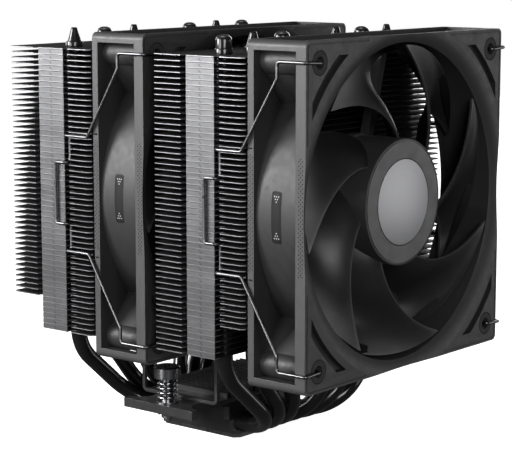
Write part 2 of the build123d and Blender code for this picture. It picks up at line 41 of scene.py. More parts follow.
MM = 0.001
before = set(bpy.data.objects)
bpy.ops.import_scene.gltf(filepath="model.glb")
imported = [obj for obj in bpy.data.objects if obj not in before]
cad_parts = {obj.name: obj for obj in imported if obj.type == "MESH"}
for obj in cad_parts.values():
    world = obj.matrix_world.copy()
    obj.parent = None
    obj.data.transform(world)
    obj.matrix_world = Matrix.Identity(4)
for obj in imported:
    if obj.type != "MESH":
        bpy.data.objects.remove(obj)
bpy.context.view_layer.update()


def box_mm(node):
    """Lowest and highest corner of a CAD node, in millimetres."""
    low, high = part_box(node)
    return low / MM, high / MM


# ---- places taken from the frame ----
FAN_LOW, FAN_HIGH = box_mm("front_fan_frame")
FAN_SIZE = FAN_HIGH.x - FAN_LOW.x
FAN_Z = (FAN_LOW.z + FAN_HIGH.z) / 2
FANS = {word: box_mm(f"{word}_fan_frame")[0].y for word in ("front", "middle")}
HALF = FAN_SIZE / 2
HOLE_OFFSET = 52.5
TOWERS = {word: box_mm(f"{word}_fin_stack") for word in ("front", "rear")}
FIN_LOW = TOWERS["front"][0].z
FIN_HIGH = TOWERS["front"][1].z

# ---- fins: depths are counted from the front of a stack, insets from its sides ----
FINS = 53
FIN_T = 0.4
FIN_PITCH = (FIN_HIGH - FIN_LOW - FIN_T) / (FINS - 1)
FIN_CORNER = 1.2
SHORT_FINS = 6
GROOVE_START, GROOVE_END, GROOVE_IN = 10.7, 13.1, 2.9
NOTCH_START, NOTCH_END, NOTCH_IN = 26.0, 28.6, 5.6
TOWER_DEPTH = 42.0
TAB_GAP = 0.08
LANCE_LOW, LANCE_HIGH, LANCE_WIDTH, LANCE_LEAN = 0.35, 1.5, 0.5, 1.0

# ---- heat pipes ----
PIPE_R = 3.0
COLLAR_R = 3.25
DOME_R = 2.55
PIPE_ROW_Y = box_mm("heat_pipe_1")[1].y - COLLAR_R
PIPE_X = [-48.75, -32.5, -16.25, 16.25, 32.5, 48.75]
PIPE_PITCH_BASE = 6.8
PIPE_BASE_Z = 5.0
PIPE_KNEE_Z = 32.6
PIPE_BEND_R = 17.0

# ---- impellers: depths are counted from the fan's front face ----
HUB_R = 23.0
HUB_WALL, HUB_CAP = 1.7, 4.1
HUB_FACE, HUB_REAR = 2.3, 19.8
BOSS_R, BOSS_REAR = 4.1, 8.0
SHAFT_R, SHAFT_TOP = 1.6, 4.5
BADGE_R = 15.65
BADGE_FACE, BADGE_SEAT = 2.2, 2.75
BLADES = 7
BLADE_TIP_R = 56.2
BLADE_ROOT_SINK = 0.6
BLADE_TIP_ANGLE = -13.7
BLADE_SWEEP = 49.0
BLADE_CHORD_ANGLE = 31.0
CHORD_WAIST_R = 38.0
CHORD_GROWTH = 0.12
CHORD_LIMIT = 70.0
ROOT_WAIST_R = 31.0
ROOT_GROWTH = 0.2
BLADE_FRONT, BLADE_FRONT_RISE = 2.7, 2.6
BLADE_REAR, BLADE_REAR_RISE = 19.2, 1.6
BLADE_BULGE, BLADE_BULGE_FALL = 2.2, 0.8
BLADE_EDGE_T, BLADE_BODY_T, BLADE_ROOT_T = 0.45, 0.65, 0.25

# ---- marks on the sides of a fan frame ----
BARREL_R = 58.9
FLANGE_MIDDLES = (2.1, 23.75)
DOT_R = 0.26
DOT_ROWS, DOT_COLUMN, DOT_ROW_PITCH, DOT_PITCH, DOT_START = 3, 27, 0.75, 1.5, 41.0
STEP_MARKS = (37.5, 83.0)
TAG_DEPTH, TAG_HALF_WIDTH, TAG_HALF_LENGTH, TAG_CORNER = 13.5, 2.1, 9.0, 1.0
TAG_DOT_R, TAG_DOT_PITCH, TAG_DOT_REACH = 0.28, 0.9, 7.2

# ---- wire clips: depths from the fan's front face, heights from its axis ----
WIRE_R = 0.6
WIRE_GAP = 0.35
WIRE_SINK = 2.75
CLIP_SLOPE_START, CLIP_SLOPE_END = 11.5, 27.2
CLIP_KNEE, CLIP_SHOULDER, CLIP_LOOP, CLIP_GRIP = 47.2, 21.6, 11.5, 5.1
CLIP_BENDS = [1.3, 1.3, 1.5, 1.5, 1.5, 1.3, 1.3, 1.3, 1.3, 1.2]

# ---- springs ----
SPRING_WIRE_R = 0.5
SPRING_TURNS = 4.25
SPRING_STEPS = 260

# ---- studio, in metres and watts ----
CAMERA_PLACE = (-0.5344, -0.4516, 0.1856)
CAMERA_AIM = (0.7625, 0.6285, -0.1536)
CAMERA_LENS, SENSOR_WIDTH = 128.46, 36.0
LIGHT_TARGET = (0, 0, 0.085)
LIGHTS = (
    # name, place, width, height, power
    ("key_left", (-0.56, 0.42, 0.31), 0.30, 0.30, 6.5),
    ("far_left", (-1.30, 0.18, 0.22), 0.4, 0.7, 7.8),
    ("front_left", (-0.80, -1.10, 0.40), 0.6, 0.6, 7.8),
    ("front_right", (0.80, -0.85, 0.06), 0.9, 0.5, 2.4),
    ("rear", (0.15, 1.6, 0.45), 0.8, 0.8, 6.0),
    ("right", (1.4, 0.40, 0.35), 0.7, 0.7, 5.0),
    ("overhead", (-0.2, 0.1, 1.3), 0.8, 0.8, 0.8),
)
FLOOR_PROFILE = ((0.001, 0.0), (6.0, 0.0), (8.0, 0.6), (9.5, 2.2), (10.0, 5.0), (10.0, 14.0))
FLOOR_SIDES = 64
FLOOR_GLOW = 0.95
WORLD_STRENGTH = 0.06


# ======================= mesh building =======================


class Shape:
    """Vertices in millimetres and faces with material numbers, gathered into one mesh."""

    def __init__(self):
        self.points, self.faces, self.kinds = [], [], []

    def add(self, points, faces, kind=0):
        base = len(self.points)
        self.points += [tuple(p) for p in points]
        self.faces += [tuple(base + i for i in face) for face in faces]
        self.kinds += [kind] * len(faces)

    def rings(self, rings, kind=0, caps=(False, False)):
        """A skin over closed rings that have the same number of points."""
        count = len(rings[0])
        faces = []
        for r in range(len(rings) - 1):
            for i in range(count):
                j = (i + 1) % count
                faces.append((r * count + i, r * count + j, (r + 1) * count + j, (r + 1) * count + i))
        if caps[0]:
            faces.append(tuple(reversed(range(count))))
        if caps[1]:
            last = (len(rings) - 1) * count
            faces.append(tuple(range(last, last + count)))
        self.add([p for ring in rings for p in ring], faces, kind)

    def lathe(self, profile, place, kind=0, sides=96):
        """Turn a profile of (radius, height) points; place puts (across, up, height) in space."""
        rings = []
        for radius, height in profile:
            ring = []
            for i in range(sides):
                a = 2 * pi * i / sides
                ring.append(place(max(radius, 1e-4) * cos(a), max(radius, 1e-4) * sin(a), height))
            rings.append(ring)
        self.rings(rings, kind, caps=(profile[0][0] > 0.01, profile[-1][0] > 0.01))

    def tube(self, path, radius, sides=16):
        """A round bar along a path of points."""
        path = [Vector(p) for p in path]
        along = (path[1] - path[0]).normalized()
        side = along.orthogonal().normalized()
        rings = []
        for k, p in enumerate(path):
            ahead = path[min(k + 1, len(path) - 1)] - path[max(k - 1, 0)]
            turn = along.rotation_difference(ahead.normalized())
            side = (turn @ side).normalized()
            along = ahead.normalized()
            across = along.cross(side)
            rings.append([p + (side * cos(a) + across * sin(a)) * radius
                          for a in (2 * pi * i / sides for i in range(sides))])
        self.rings(rings, caps=(True, True))

    def slab(self, outline, holes, low, high, place, bevel=0.15):
        """A plate with softened edges. The outline runs anticlockwise and the holes clockwise."""
        loops = [outline] + holes
        for level, start in ((low, True), (high, False)):
            flat = [offset(loop, bevel) for loop in loops]
            corners = [p for loop in flat for p in loop]
            triangles = tessellate_polygon([[Vector((u, v, 0)) for u, v in loop] for loop in flat])
            turned = []
            for tri in triangles:
                (ax, ay), (bx, by), (cx, cy) = (corners[i] for i in tri)
                up = (bx - ax) * (cy - ay) - (by - ay) * (cx - ax) > 0
                turned.append(tuple(tri) if up != start else tuple(reversed(tri)))
            self.add([place(u, v, level) for u, v in corners], turned)
        for loop in loops:
            rings = [[place(u, v, w) for u, v in offset(loop, inset)]
                     for inset, w in ((bevel, low), (0, low + bevel), (0, high - bevel), (bevel, high))]
            self.rings(rings)

    def make(self, name, materials, body, slot, replaces=(), smooth=35.0):
        """Turn the gathered faces into a Blender object that rides on a CAD body."""
        mesh = bpy.data.meshes.new(name)
        mesh.from_pydata([tuple(c * MM for c in p) for p in self.points], [], self.faces)
        for m in materials if isinstance(materials, (list, tuple)) else [materials]:
            mesh.materials.append(m)
        mesh.polygons.foreach_set("material_index", self.kinds)
        weld(mesh)
        mesh.shade_smooth()
        mesh.set_sharp_from_angle(angle=radians(smooth))
        obj = link(name, mesh)
        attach(obj, body)
        if replaces:
            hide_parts(*replaces)
        return obj


def link(name, data):
    """A new object in the scene that holds a mesh, a light or a camera."""
    obj = bpy.data.objects.new(name, data)
    bpy.context.scene.collection.objects.link(obj)
    return obj


def weld(mesh):
    """Join the vertices that coincide and turn every face outwards."""
    bm = bmesh.new()
    bm.from_mesh(mesh)
    bmesh.ops.remove_doubles(bm, verts=bm.verts, dist=1e-7)
    bmesh.ops.recalc_face_normals(bm, faces=bm.faces)
    bm.to_mesh(mesh)
    bm.free()
    mesh.update()


def offset(loop, inset):
    """A closed outline moved to its left by inset, with mitred corners."""
    if not inset:
        return list(loop)
    count = len(loop)
    moved = []
    for i, (u, v) in enumerate(loop):
        (pu, pv), (nu, nv) = loop[i - 1], loop[(i + 1) % count]
        a, b = Vector((u - pu, v - pv)).normalized(), Vector((nu - u, nv - v)).normalized()
        left = Vector((-(a.y + b.y), a.x + b.x))
        left = left.normalized() if left.length > 1e-6 else Vector((-a.y, a.x))
        reach = inset / max(0.5, left.dot(Vector((-a.y, a.x))))
        moved.append((u + left.x * reach, v + left.y * reach))
    return moved


def anticlockwise(loop):
    """The loop itself, or the loop turned round when it runs clockwise."""
    twice_area = sum(loop[i - 1][0] * loop[i][1] - loop[i][0] * loop[i - 1][1] for i in range(len(loop)))
    return loop if twice_area > 0 else loop[::-1]


def circle(u, v, radius, sides=32, clockwise=False):
    turn = -1 if clockwise else 1
    return [(u + radius * cos(turn * 2 * pi * i / sides), v + radius * sin(turn * 2 * pi * i / sides))
            for i in range(sides)]


def rounded(points, radii, steps=6):
    """A closed outline with its corners rounded by arcs; radii is one number or one for each point."""
    if not isinstance(radii, (list, tuple)):
        radii = [radii] * len(points)
    flat = [(u, v, 0.0) for u, v in points]
    path = fillet_path(flat + flat[:2], [0] + radii[1:] + radii[:1] + [0], steps)
    return [(p.x, p.y) for p in path[1:-1]]


def rectangle(half_u, half_v, radius, steps=6, u=0.0, v=0.0):
    corners = [(u + half_u, v + half_v), (u - half_u, v + half_v), (u - half_u, v - half_v),
               (u + half_u, v - half_v)]
    return rounded(corners, radius, steps)


def fillet_path(points, radii, steps=8):
    """A path through points with each inner corner rounded by an arc of its radius."""
    points = [Vector(p) for p in points]
    path = [points[0]]
    for i in range(1, len(points) - 1):
        p, radius = points[i], radii[i]
        before, after = (points[i - 1] - p).normalized(), (points[i + 1] - p).normalized()
        opening = before.angle(after)
        if radius <= 0 or opening > pi - 1e-3:
            path.append(p)
            continue
        reach = radius / tan(opening / 2)
        middle = p + (before + after).normalized() * (radius / sin(opening / 2))
        start, end = p + before * reach - middle, p + after * reach - middle
        axis = start.cross(end).normalized()
        sweep = start.angle(end)
        count = max(2, ceil(steps * sweep / (pi / 2)))
        for k in range(count + 1):
            path.append(middle + Matrix.Rotation(sweep * k / count, 3, axis) @ start)
    path.append(points[-1])
    return path


def along_y(y):
    """Places (across, up, depth) about the fans' axis, with depth counted from y."""
    return lambda u, v, w: (u, y + w, FAN_Z + v)


def upright(x, y):
    """Places (across, back, height) about a vertical axis at x, y."""
    return lambda u, v, w: (x + u, y + v, w)


# ======================= materials =======================


def node_tree(name):
    """A material with an empty tree but for its output and one shader."""
    m = bpy.data.materials.new(name)
    m.use_nodes = True
    tree = m.node_tree
    tree.nodes.clear()
    out = tree.nodes.new("ShaderNodeOutputMaterial")
    shader = tree.nodes.new("ShaderNodeBsdfPrincipled")
    tree.links.new(shader.outputs["BSDF"], out.inputs["Surface"])
    return m, tree, shader


def texture_space(tree, stretch):
    """Object coordinates, scaled so that one unit of texture is one millimetre over stretch."""
    coords = tree.nodes.new("ShaderNodeTexCoord")
    mapping = tree.nodes.new("ShaderNodeMapping")
    mapping.inputs["Scale"].default_value = [s / MM for s in stretch]
    tree.links.new(coords.outputs["Object"], mapping.inputs["Vector"])
    return mapping.outputs["Vector"]


def noise(tree, vector, scale, detail=4.0):
    n = tree.nodes.new("ShaderNodeTexNoise")
    n.inputs["Scale"].default_value = scale
    n.inputs["Detail"].default_value = detail
    n.inputs["Roughness"].default_value = 0.55
    tree.links.new(vector, n.inputs["Vector"])
    return n.outputs["Fac"]


def spread(tree, value, low, high, source=(0.3, 0.7)):
    """Map a texture value to the range low to high."""
    r = tree.nodes.new("ShaderNodeMapRange")
    r.inputs["From Min"].default_value, r.inputs["From Max"].default_value = source
    r.inputs["To Min"].default_value, r.inputs["To Max"].default_value = low, high
    tree.links.new(value, r.inputs["Value"])
    return r.outputs["Result"]


def ramp(tree, value, dark, light):
    """Map a texture value to a colour between dark and light."""
    r = tree.nodes.new("ShaderNodeValToRGB")
    r.color_ramp.elements[0].position, r.color_ramp.elements[1].position = 0.3, 0.7
    r.color_ramp.elements[0].color = (*dark, 1)
    r.color_ramp.elements[1].color = (*light, 1)
    tree.links.new(value, r.inputs["Fac"])
    return r.outputs["Color"]


def surface(name, colour, roughness, metallic=0.0, vary=0.15, grain=0.6, stretch=(1, 1, 1), bump=0.0,
            rough_vary=0.06, coat=0.0, specular=0.5, soft_edge=0.0, painted_edge_highlight=0.0):
    """A finish with fine colour, roughness and height detail at the stated grain in millimetres."""
    m, tree, shader = node_tree(name)
    vector = texture_space(tree, stretch)
    fine = noise(tree, vector, 1 / grain)
    broad = noise(tree, vector, 0.08 / grain, detail=3)
    dark = [c * (1 - vary) for c in colour]
    light = [c * (1 + vary) for c in colour]
    tone = ramp(tree, fine, dark, light)
    # Painted highlight: sharp edges, found by pointiness, get a lighter colour that stands in for the light
    # lines along them.
    if painted_edge_highlight:
        highlight_geometry = tree.nodes.new("ShaderNodeNewGeometry")
        edge = spread(tree, highlight_geometry.outputs["Pointiness"], 0.0, 1.0, source=(0.52, 0.6))
        mix = tree.nodes.new("ShaderNodeMix")
        mix.data_type = "RGBA"
        mix.inputs["B"].default_value = (*[min(1, c + painted_edge_highlight) for c in colour], 1)
        tree.links.new(edge, mix.inputs["Factor"])
        tree.links.new(tone, mix.inputs["A"])
        tone = mix.outputs["Result"]
    tree.links.new(tone, shader.inputs["Base Color"])
    tree.links.new(spread(tree, broad, roughness - rough_vary, roughness + rough_vary),
                   shader.inputs["Roughness"])
    shader.inputs["Metallic"].default_value = metallic
    shader.inputs["Specular IOR Level"].default_value = specular
    if coat:
        shader.inputs["Coat Weight"].default_value = coat
        shader.inputs["Coat Roughness"].default_value = 0.08
    normal = None
    if soft_edge:
        bevel = tree.nodes.new("ShaderNodeBevel")
        bevel.samples = 4
        bevel.inputs["Radius"].default_value = soft_edge * MM
        normal = bevel.outputs["Normal"]
    if bump:
        b = tree.nodes.new("ShaderNodeBump")
        b.inputs["Strength"].default_value = 0.6
        b.inputs["Distance"].default_value = bump * MM
        tree.links.new(fine, b.inputs["Height"])
        if normal:
            tree.links.new(normal, b.inputs["Normal"])
        normal = b.outputs["Normal"]
    if normal:
        tree.links.new(normal, shader.inputs["Normal"])
    return m


def spun_metal(name, colour, roughness):
    """Metal turned on a lathe: fine rings about the fans' axis."""
    m, tree, shader = node_tree(name)
    coords = tree.nodes.new("ShaderNodeTexCoord")
    split = tree.nodes.new("ShaderNodeSeparateXYZ")
    tree.links.new(coords.outputs["Object"], split.inputs["Vector"])
    up = tree.nodes.new("ShaderNodeMath")
    up.operation = "SUBTRACT"
    up.inputs[1].default_value = FAN_Z * MM
    tree.links.new(split.outputs["Z"], up.inputs[0])
    flat = tree.nodes.new("ShaderNodeCombineXYZ")
    tree.links.new(split.outputs["X"], flat.inputs["X"])
    tree.links.new(up.outputs["Value"], flat.inputs["Y"])
    radius = tree.nodes.new("ShaderNodeVectorMath")
    radius.operation = "LENGTH"
    tree.links.new(flat.outputs["Vector"], radius.inputs[0])
    ring = tree.nodes.new("ShaderNodeCombineXYZ")
    tree.links.new(radius.outputs["Value"], ring.inputs["X"])
    rings = noise(tree, ring.outputs["Vector"], 4 / MM, detail=3)
    tree.links.new(ramp(tree, rings, [c * 0.85 for c in colour], [c * 1.15 for c in colour]),
                   shader.inputs["Base Color"])
    tree.links.new(spread(tree, rings, roughness - 0.06, roughness + 0.06), shader.inputs["Roughness"])
    shader.inputs["Metallic"].default_value = 0.9
    b = tree.nodes.new("ShaderNodeBump")
    b.inputs["Strength"].default_value = 0.25
    b.inputs["Distance"].default_value = 0.02 * MM
    tree.links.new(rings, b.inputs["Height"])
    tree.links.new(b.outputs["Normal"], shader.inputs["Normal"])
    return m


def grey(level):
    return (level, level, level * 1.03)


M = {
    "fin": surface("black_fin_aluminium", grey(0.033), 0.50, metallic=0.6, vary=0.12, grain=0.5,
                   stretch=(0.15, 1, 1), bump=0.006, rough_vary=0.05, specular=0.25),
    # Light grey for the fins' side edges: a painted highlight where light catches their thin edges.
    "edge": surface("fin_edge_painted_highlight", grey(0.34), 0.38, metallic=0.85, vary=0.2, grain=0.5,
                    stretch=(0.2, 0.2, 1), bump=0.006),
    "tab": surface("fin_edge_aluminium", grey(0.16), 0.40, metallic=0.8, vary=0.18, grain=0.5,
                   stretch=(1, 0.12, 1), bump=0.006),
    "lock": surface("fin_interlock", grey(0.02), 0.5, metallic=0.4, grain=0.3),
    # The frame's sharp edges get a faint painted highlight.
    "frame": surface("frame_plastic", grey(0.026), 0.50, vary=0.2, grain=0.18, bump=0.015, soft_edge=0.14,
                     specular=0.45, painted_edge_highlight=0.03),
    # The frame's plastic again, but lighter, for its outermost side faces: a painted highlight where the
    # light from the left falls on them.
    "flange": surface("flange_side_painted_highlight", grey(0.055), 0.45, vary=0.15, grain=0.18, bump=0.015,
                      soft_edge=0.35, specular=0.5),
    # Near-black and without shine: painted shade standing in for the recess of each flange dot; the step
    # marks share it.
    "mark": surface("flange_dots_painted_shade", grey(0.004), 0.9, grain=0.3, specular=0.05),
    "dot": surface("tag_dots", grey(0.30), 0.5, grain=0.3),
    "tag": surface("side_tag", grey(0.014), 0.6, grain=0.2, bump=0.01, specular=0.2),
    # The blades' sharp edges get a painted highlight: light lines along their edges.
    "blade": surface("blade_plastic", grey(0.012), 0.38, vary=0.2, grain=0.8, stretch=(1, 0.4, 1),
                     bump=0.006, specular=0.5, painted_edge_highlight=0.06),
    # Lighter than the blades: the hub's faces along the axis are painted as lit, and its side walls as
    # shaded.
    "hub": surface("hub_plastic_painted_light", grey(0.05), 0.42, vary=0.1, grain=0.25, bump=0.01),
    "badge": spun_metal("badge_spun_metal", grey(0.36), 0.44),
    "rubber": surface("pad_rubber", grey(0.02), 0.75, vary=0.25, grain=0.2, bump=0.03),
    "pipe": surface("black_nickel_pipe", grey(0.02), 0.22, metallic=0.5, vary=0.15, grain=1.2, bump=0.003,
                    rough_vary=0.05, coat=0.6),
    "solder": surface("pipe_seal_metal", grey(0.42), 0.28, metallic=1.0, vary=0.15, grain=0.3, bump=0.01),
    "wire": surface("black_chrome_wire", grey(0.16), 0.30, metallic=1.0, vary=0.2, grain=0.5, bump=0.003),
    "steel": surface("bright_steel", grey(0.3), 0.26, metallic=1.0, vary=0.12, grain=0.25,
                     stretch=(1, 1, 0.2), bump=0.008),
    "spring": surface("spring_steel", grey(0.35), 0.20, metallic=1.0, vary=0.12, grain=0.3, bump=0.004),
    "bar": surface("coated_bar", grey(0.05), 0.38, metallic=0.55, vary=0.15, grain=0.22, bump=0.015,
                   soft_edge=0.2),
    "base": surface("dark_block", grey(0.04), 0.36, metallic=0.7, vary=0.15, grain=0.4,
                    stretch=(0.1, 1, 1), bump=0.006),
    "plate": surface("nickel_plate", grey(0.12), 0.30, metallic=0.9, vary=0.12, grain=0.35,
                     stretch=(0.06, 1, 1), bump=0.005),
    "core": surface("core_laminations", grey(0.30), 0.4, metallic=0.8, grain=0.4, stretch=(0.1, 3, 0.1),
                    bump=0.02),
    "copper": surface("coil_copper", (0.55, 0.22, 0.08), 0.3, metallic=0.9, grain=0.25,
                      stretch=(1, 3, 1), bump=0.05),
    "bronze": surface("bearing_bronze", (0.45, 0.32, 0.14), 0.35, metallic=0.9, grain=0.2, bump=0.01),
    "board": surface("motor_board", (0.02, 0.08, 0.035), 0.4, grain=0.5, bump=0.01),
    "film": surface("label_film", grey(0.03), 0.35, grain=0.8),
    "magnet": surface("magnet_ferrite", grey(0.03), 0.7, grain=0.3, bump=0.02),
}


def repaint(node, key, lit_side_key=None, reach=0.0):
    """Give a CAD node that is shown as it is a finished material, and its outermost sides a second one; for
    the fan frames that is a lighter copy of the plastic, a painted highlight.
    """
    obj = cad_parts[node]
    obj.data.materials.clear()
    obj.data.materials.append(M[key])
    if lit_side_key:
        obj.data.materials.append(M[lit_side_key])
        for face in obj.data.polygons:
            outer = abs(face.normal.x) > 0.9 and abs(face.center.x) / MM > reach
            face.material_index = 1 if outer else 0


# ======================= fins =======================


def fin_outline(start, end):
    """Outline of a fin, anticlockwise seen from above, in (x, depth from the stack's front)."""
    half = HALF
    right = [(0, start)]
    if start < GROOVE_START:
        right += [(half - FIN_CORNER, start), (half, start + FIN_CORNER), (half, GROOVE_START),
                  (half - GROOVE_IN, GROOVE_START), (half - GROOVE_IN, GROOVE_END)]
    else:
        right += [(half - GROOVE_IN, start)]
    right += [(half, GROOVE_END), (half, NOTCH_START)]
    if end > NOTCH_END:
        right += [(half - NOTCH_IN, NOTCH_START + 0.9), (half - NOTCH_IN, NOTCH_START + 1.5),
                  (half, NOTCH_END), (half, end - FIN_CORNER), (half - FIN_CORNER, end)]
    right += [(0, end)]
    return right + [(-x, d) for x, d in reversed(right[1:-1])]


def build_fins(word, pipe_y, short):
    """A stack of fins with edge tabs; short is the depth range of its lowest fins."""
    low, high = TOWERS[word]
    fins, tabs, locks = Shape(), Shape(), Shape()
    holes = [circle(x, pipe_y, PIPE_R + 0.03, 20, clockwise=True) for x in PIPE_X]
    for number in range(FINS):
        z = low.z + number * FIN_PITCH
        start, end = short if number < SHORT_FINS else (0.0, TOWER_DEPTH)
        outline = [(x, low.y + d) for x, d in fin_outline(start, end)]
        fins.slab(outline, holes, z, z + FIN_T, upright(0, 0), bevel=0.08)
        if number == FINS - 1:
            continue
        # The folded edge tab of each fin, and the small lance that locks it to the next.
        tab_start, tab_end = low.y + GROOVE_END + 0.05, low.y + NOTCH_START - 0.05
        middle = (tab_start + tab_end) / 2
        foot, head, half = middle - LANCE_LEAN / 2, middle + LANCE_LEAN / 2, LANCE_WIDTH / 2
        lance = anticlockwise([(foot - half, z + LANCE_LOW), (head - half, z + LANCE_HIGH),
                               (head + half, z + LANCE_HIGH), (foot + half, z + LANCE_LOW)])
        for side in (-1, 1):
            outer, inner = side * HALF, side * (HALF - FIN_T)
            tab = anticlockwise([(outer, tab_start), (outer, tab_end), (inner, tab_end), (inner, tab_start)])
            tabs.slab(tab, [], z + FIN_T * 0.5, z + FIN_PITCH - TAB_GAP, upright(0, 0), bevel=0.09)
            proud = outer + side * 0.02
            locks.slab(lance, [], 0.0, 0.25, lambda a, b, w, p=proud, s=side: (p - s * w, a, b), bevel=0.03)
    fin_object = fins.make(f"{word}_fins", [M["fin"], M["edge"]], "heatsink", "fin_metal",
                           [f"{word}_fin_stack"])
    # Painted highlight: the fins' edge faces near the sides of the stack take the light grey colour.
    for face in fin_object.data.polygons:
        painted_lit_edge = abs(face.normal.z) < 0.9 and abs(face.center.x) / MM > HALF - NOTCH_IN - 0.5
        face.material_index = 1 if painted_lit_edge else 0
    tabs.make(f"{word}_fin_tabs", M["tab"], "heatsink", "fin_metal")
    locks.make(f"{word}_fin_locks", M["lock"], "heatsink", "fin_metal")


# ======================= heat pipes =======================


def build_pipe(index):
    """A U-shaped pipe; its two ends are a taper and a dome, by turns along the row."""
    top_x, base_x = PIPE_X[index], (index - (len(PIPE_X) - 1) / 2) * PIPE_PITCH_BASE
    top = FIN_HIGH + 0.1
    half = [(top_x, -PIPE_ROW_Y, top), (top_x, -PIPE_ROW_Y, PIPE_KNEE_Z), (base_x, -PIPE_ROW_Y, PIPE_BASE_Z)]
    points = half + [(x, -y, z) for x, y, z in reversed(half)]
    pipe = Shape()
    pipe.tube(fillet_path(points, [0] + [PIPE_BEND_R] * 4 + [0], 16), PIPE_R, sides=40)
    for y, tapered in ((-PIPE_ROW_Y, index % 2 == 1), (PIPE_ROW_Y, index % 2 == 0)):
        place = upright(top_x, y)
        collar = [(PIPE_R, top), (3.22, top + 0.15), (COLLAR_R, top + 1.6), (3.1, top + 1.9)]
        if tapered:
            taper = [(2.65, top + 1.95), (2.55, top + 2.2), (1.3, top + 6.4), (1.2, top + 6.8),
                     (0.95, top + 7.02), (0.5, top + 7.08), (0, top + 7.1)]
            pipe.lathe(collar + taper, place, sides=48)
        else:
            wall = [(2.95, top + 1.95), (2.95, top + 4.8), (2.85, top + 5.3), (DOME_R, top + 5.85)]
            dome = [(DOME_R, top + 5.85), (2.2, top + 6.2), (1.6, top + 6.55), (0.9, top + 6.75),
                    (0, top + 6.8)]
            pipe.lathe(collar + wall, place, sides=48)
            pipe.lathe(dome, place, kind=1, sides=48)
    pipe.make(f"pipe_{index + 1}", [M["pipe"], M["solder"]], "heatsink", "pipe_metal",
              [f"heat_pipe_{index + 1}"])


# ======================= fans =======================


def blade_point(radius, chord, thick):
    """Angle and depth of a point of a blade's skin.

    Chord runs 0 to 1 from the front edge, and thick is -1 on the front skin and 1 on the rear skin.
    """
    inward = max(0.0, (BLADE_TIP_R - radius) / (BLADE_TIP_R - HUB_R))
    widening = (CHORD_GROWTH * max(0.0, radius - CHORD_WAIST_R) ** 2
                + ROOT_GROWTH * max(0.0, ROOT_WAIST_R - radius) ** 1.5)
    span = min(CHORD_LIMIT, BLADE_CHORD_ANGLE + widening)
    angle = radians(BLADE_TIP_ANGLE - BLADE_SWEEP * inward ** 1.12 - span * chord)
    front = BLADE_FRONT + BLADE_FRONT_RISE * inward ** 1.5
    rear = BLADE_REAR - BLADE_REAR_RISE * inward
    arch = 4 * chord * (1 - chord)
    bulge = (BLADE_BULGE - BLADE_BULGE_FALL * inward) * arch
    body = BLADE_EDGE_T + (BLADE_BODY_T + BLADE_ROOT_T * inward - BLADE_EDGE_T) * arch
    return angle, front + (rear - front) * chord - bulge + thick * body


def build_impeller(word, y):
    """Seven swept blades, the hub cup with its inner boss, and the turned metal badge."""
    place = along_y(y)
    blades = Shape()
    root = HUB_R - BLADE_ROOT_SINK
    radial, chordal = 30, 26
    for number in range(BLADES):
        turn = radians(360 / BLADES * number)
        rings = []
        for r in range(radial + 1):
            radius = root + (BLADE_TIP_R - root) * r / radial
            ring = []
            for side, steps in ((-1, range(chordal + 1)), (1, range(chordal, -1, -1))):
                for c in steps:
                    angle, depth = blade_point(radius, c / chordal, side)
                    ring.append(place(radius * cos(angle + turn), radius * sin(angle + turn), depth))
            rings.append(ring)
        blades.rings(rings, caps=(True, True))
    blades.make(f"{word}_blades", M["blade"], f"{word}_rotor", "blade_plastic", [f"{word}_fan_impeller"],
                smooth=40)
    hub = Shape()
    seat = BADGE_R + 0.05
    hub.lathe([(seat, BADGE_SEAT), (seat, HUB_FACE + 0.12), (seat + 0.15, HUB_FACE), (HUB_R - 1.1, HUB_FACE),
               (HUB_R - 1.05, HUB_FACE + 0.3), (HUB_R - 0.8, HUB_FACE + 0.3), (HUB_R - 0.75, HUB_FACE),
               (HUB_R - 0.45, HUB_FACE + 0.03), (HUB_R - 0.15, HUB_FACE + 0.2), (HUB_R, HUB_FACE + 0.55),
               (HUB_R, HUB_REAR - 0.2), (HUB_R - 0.2, HUB_REAR), (HUB_R - HUB_WALL, HUB_REAR),
               (HUB_R - HUB_WALL, HUB_CAP), (BOSS_R, HUB_CAP), (BOSS_R, BOSS_REAR), (SHAFT_R, BOSS_REAR),
               (SHAFT_R, SHAFT_TOP), (0, SHAFT_TOP)], place, sides=128)
    hub.lathe([(0, BADGE_SEAT), (seat, BADGE_SEAT)], place, sides=128)
    cup = hub.make(f"{word}_hub", [M["hub"], M["blade"]], f"{word}_rotor", "blade_plastic", smooth=28)
    # Painted light and shade: faces along the axis take the lighter hub colour, and the side walls take the
    # darker blade colour.
    for face in cup.data.polygons:
        face.material_index = 1 if abs(face.normal.y) < 0.6 else 0
    badge = Shape()
    back = BADGE_SEAT - 0.03
    badge.lathe([(0, BADGE_FACE), (BADGE_R - 0.35, BADGE_FACE), (BADGE_R - 0.12, BADGE_FACE + 0.08),
                 (BADGE_R - 0.1, back), (0, back)], place, sides=128)
    badge.make(f"{word}_badge", M["badge"], f"{word}_rotor", "badge_metal", [f"{word}_fan_hub_badge"],
               smooth=20)


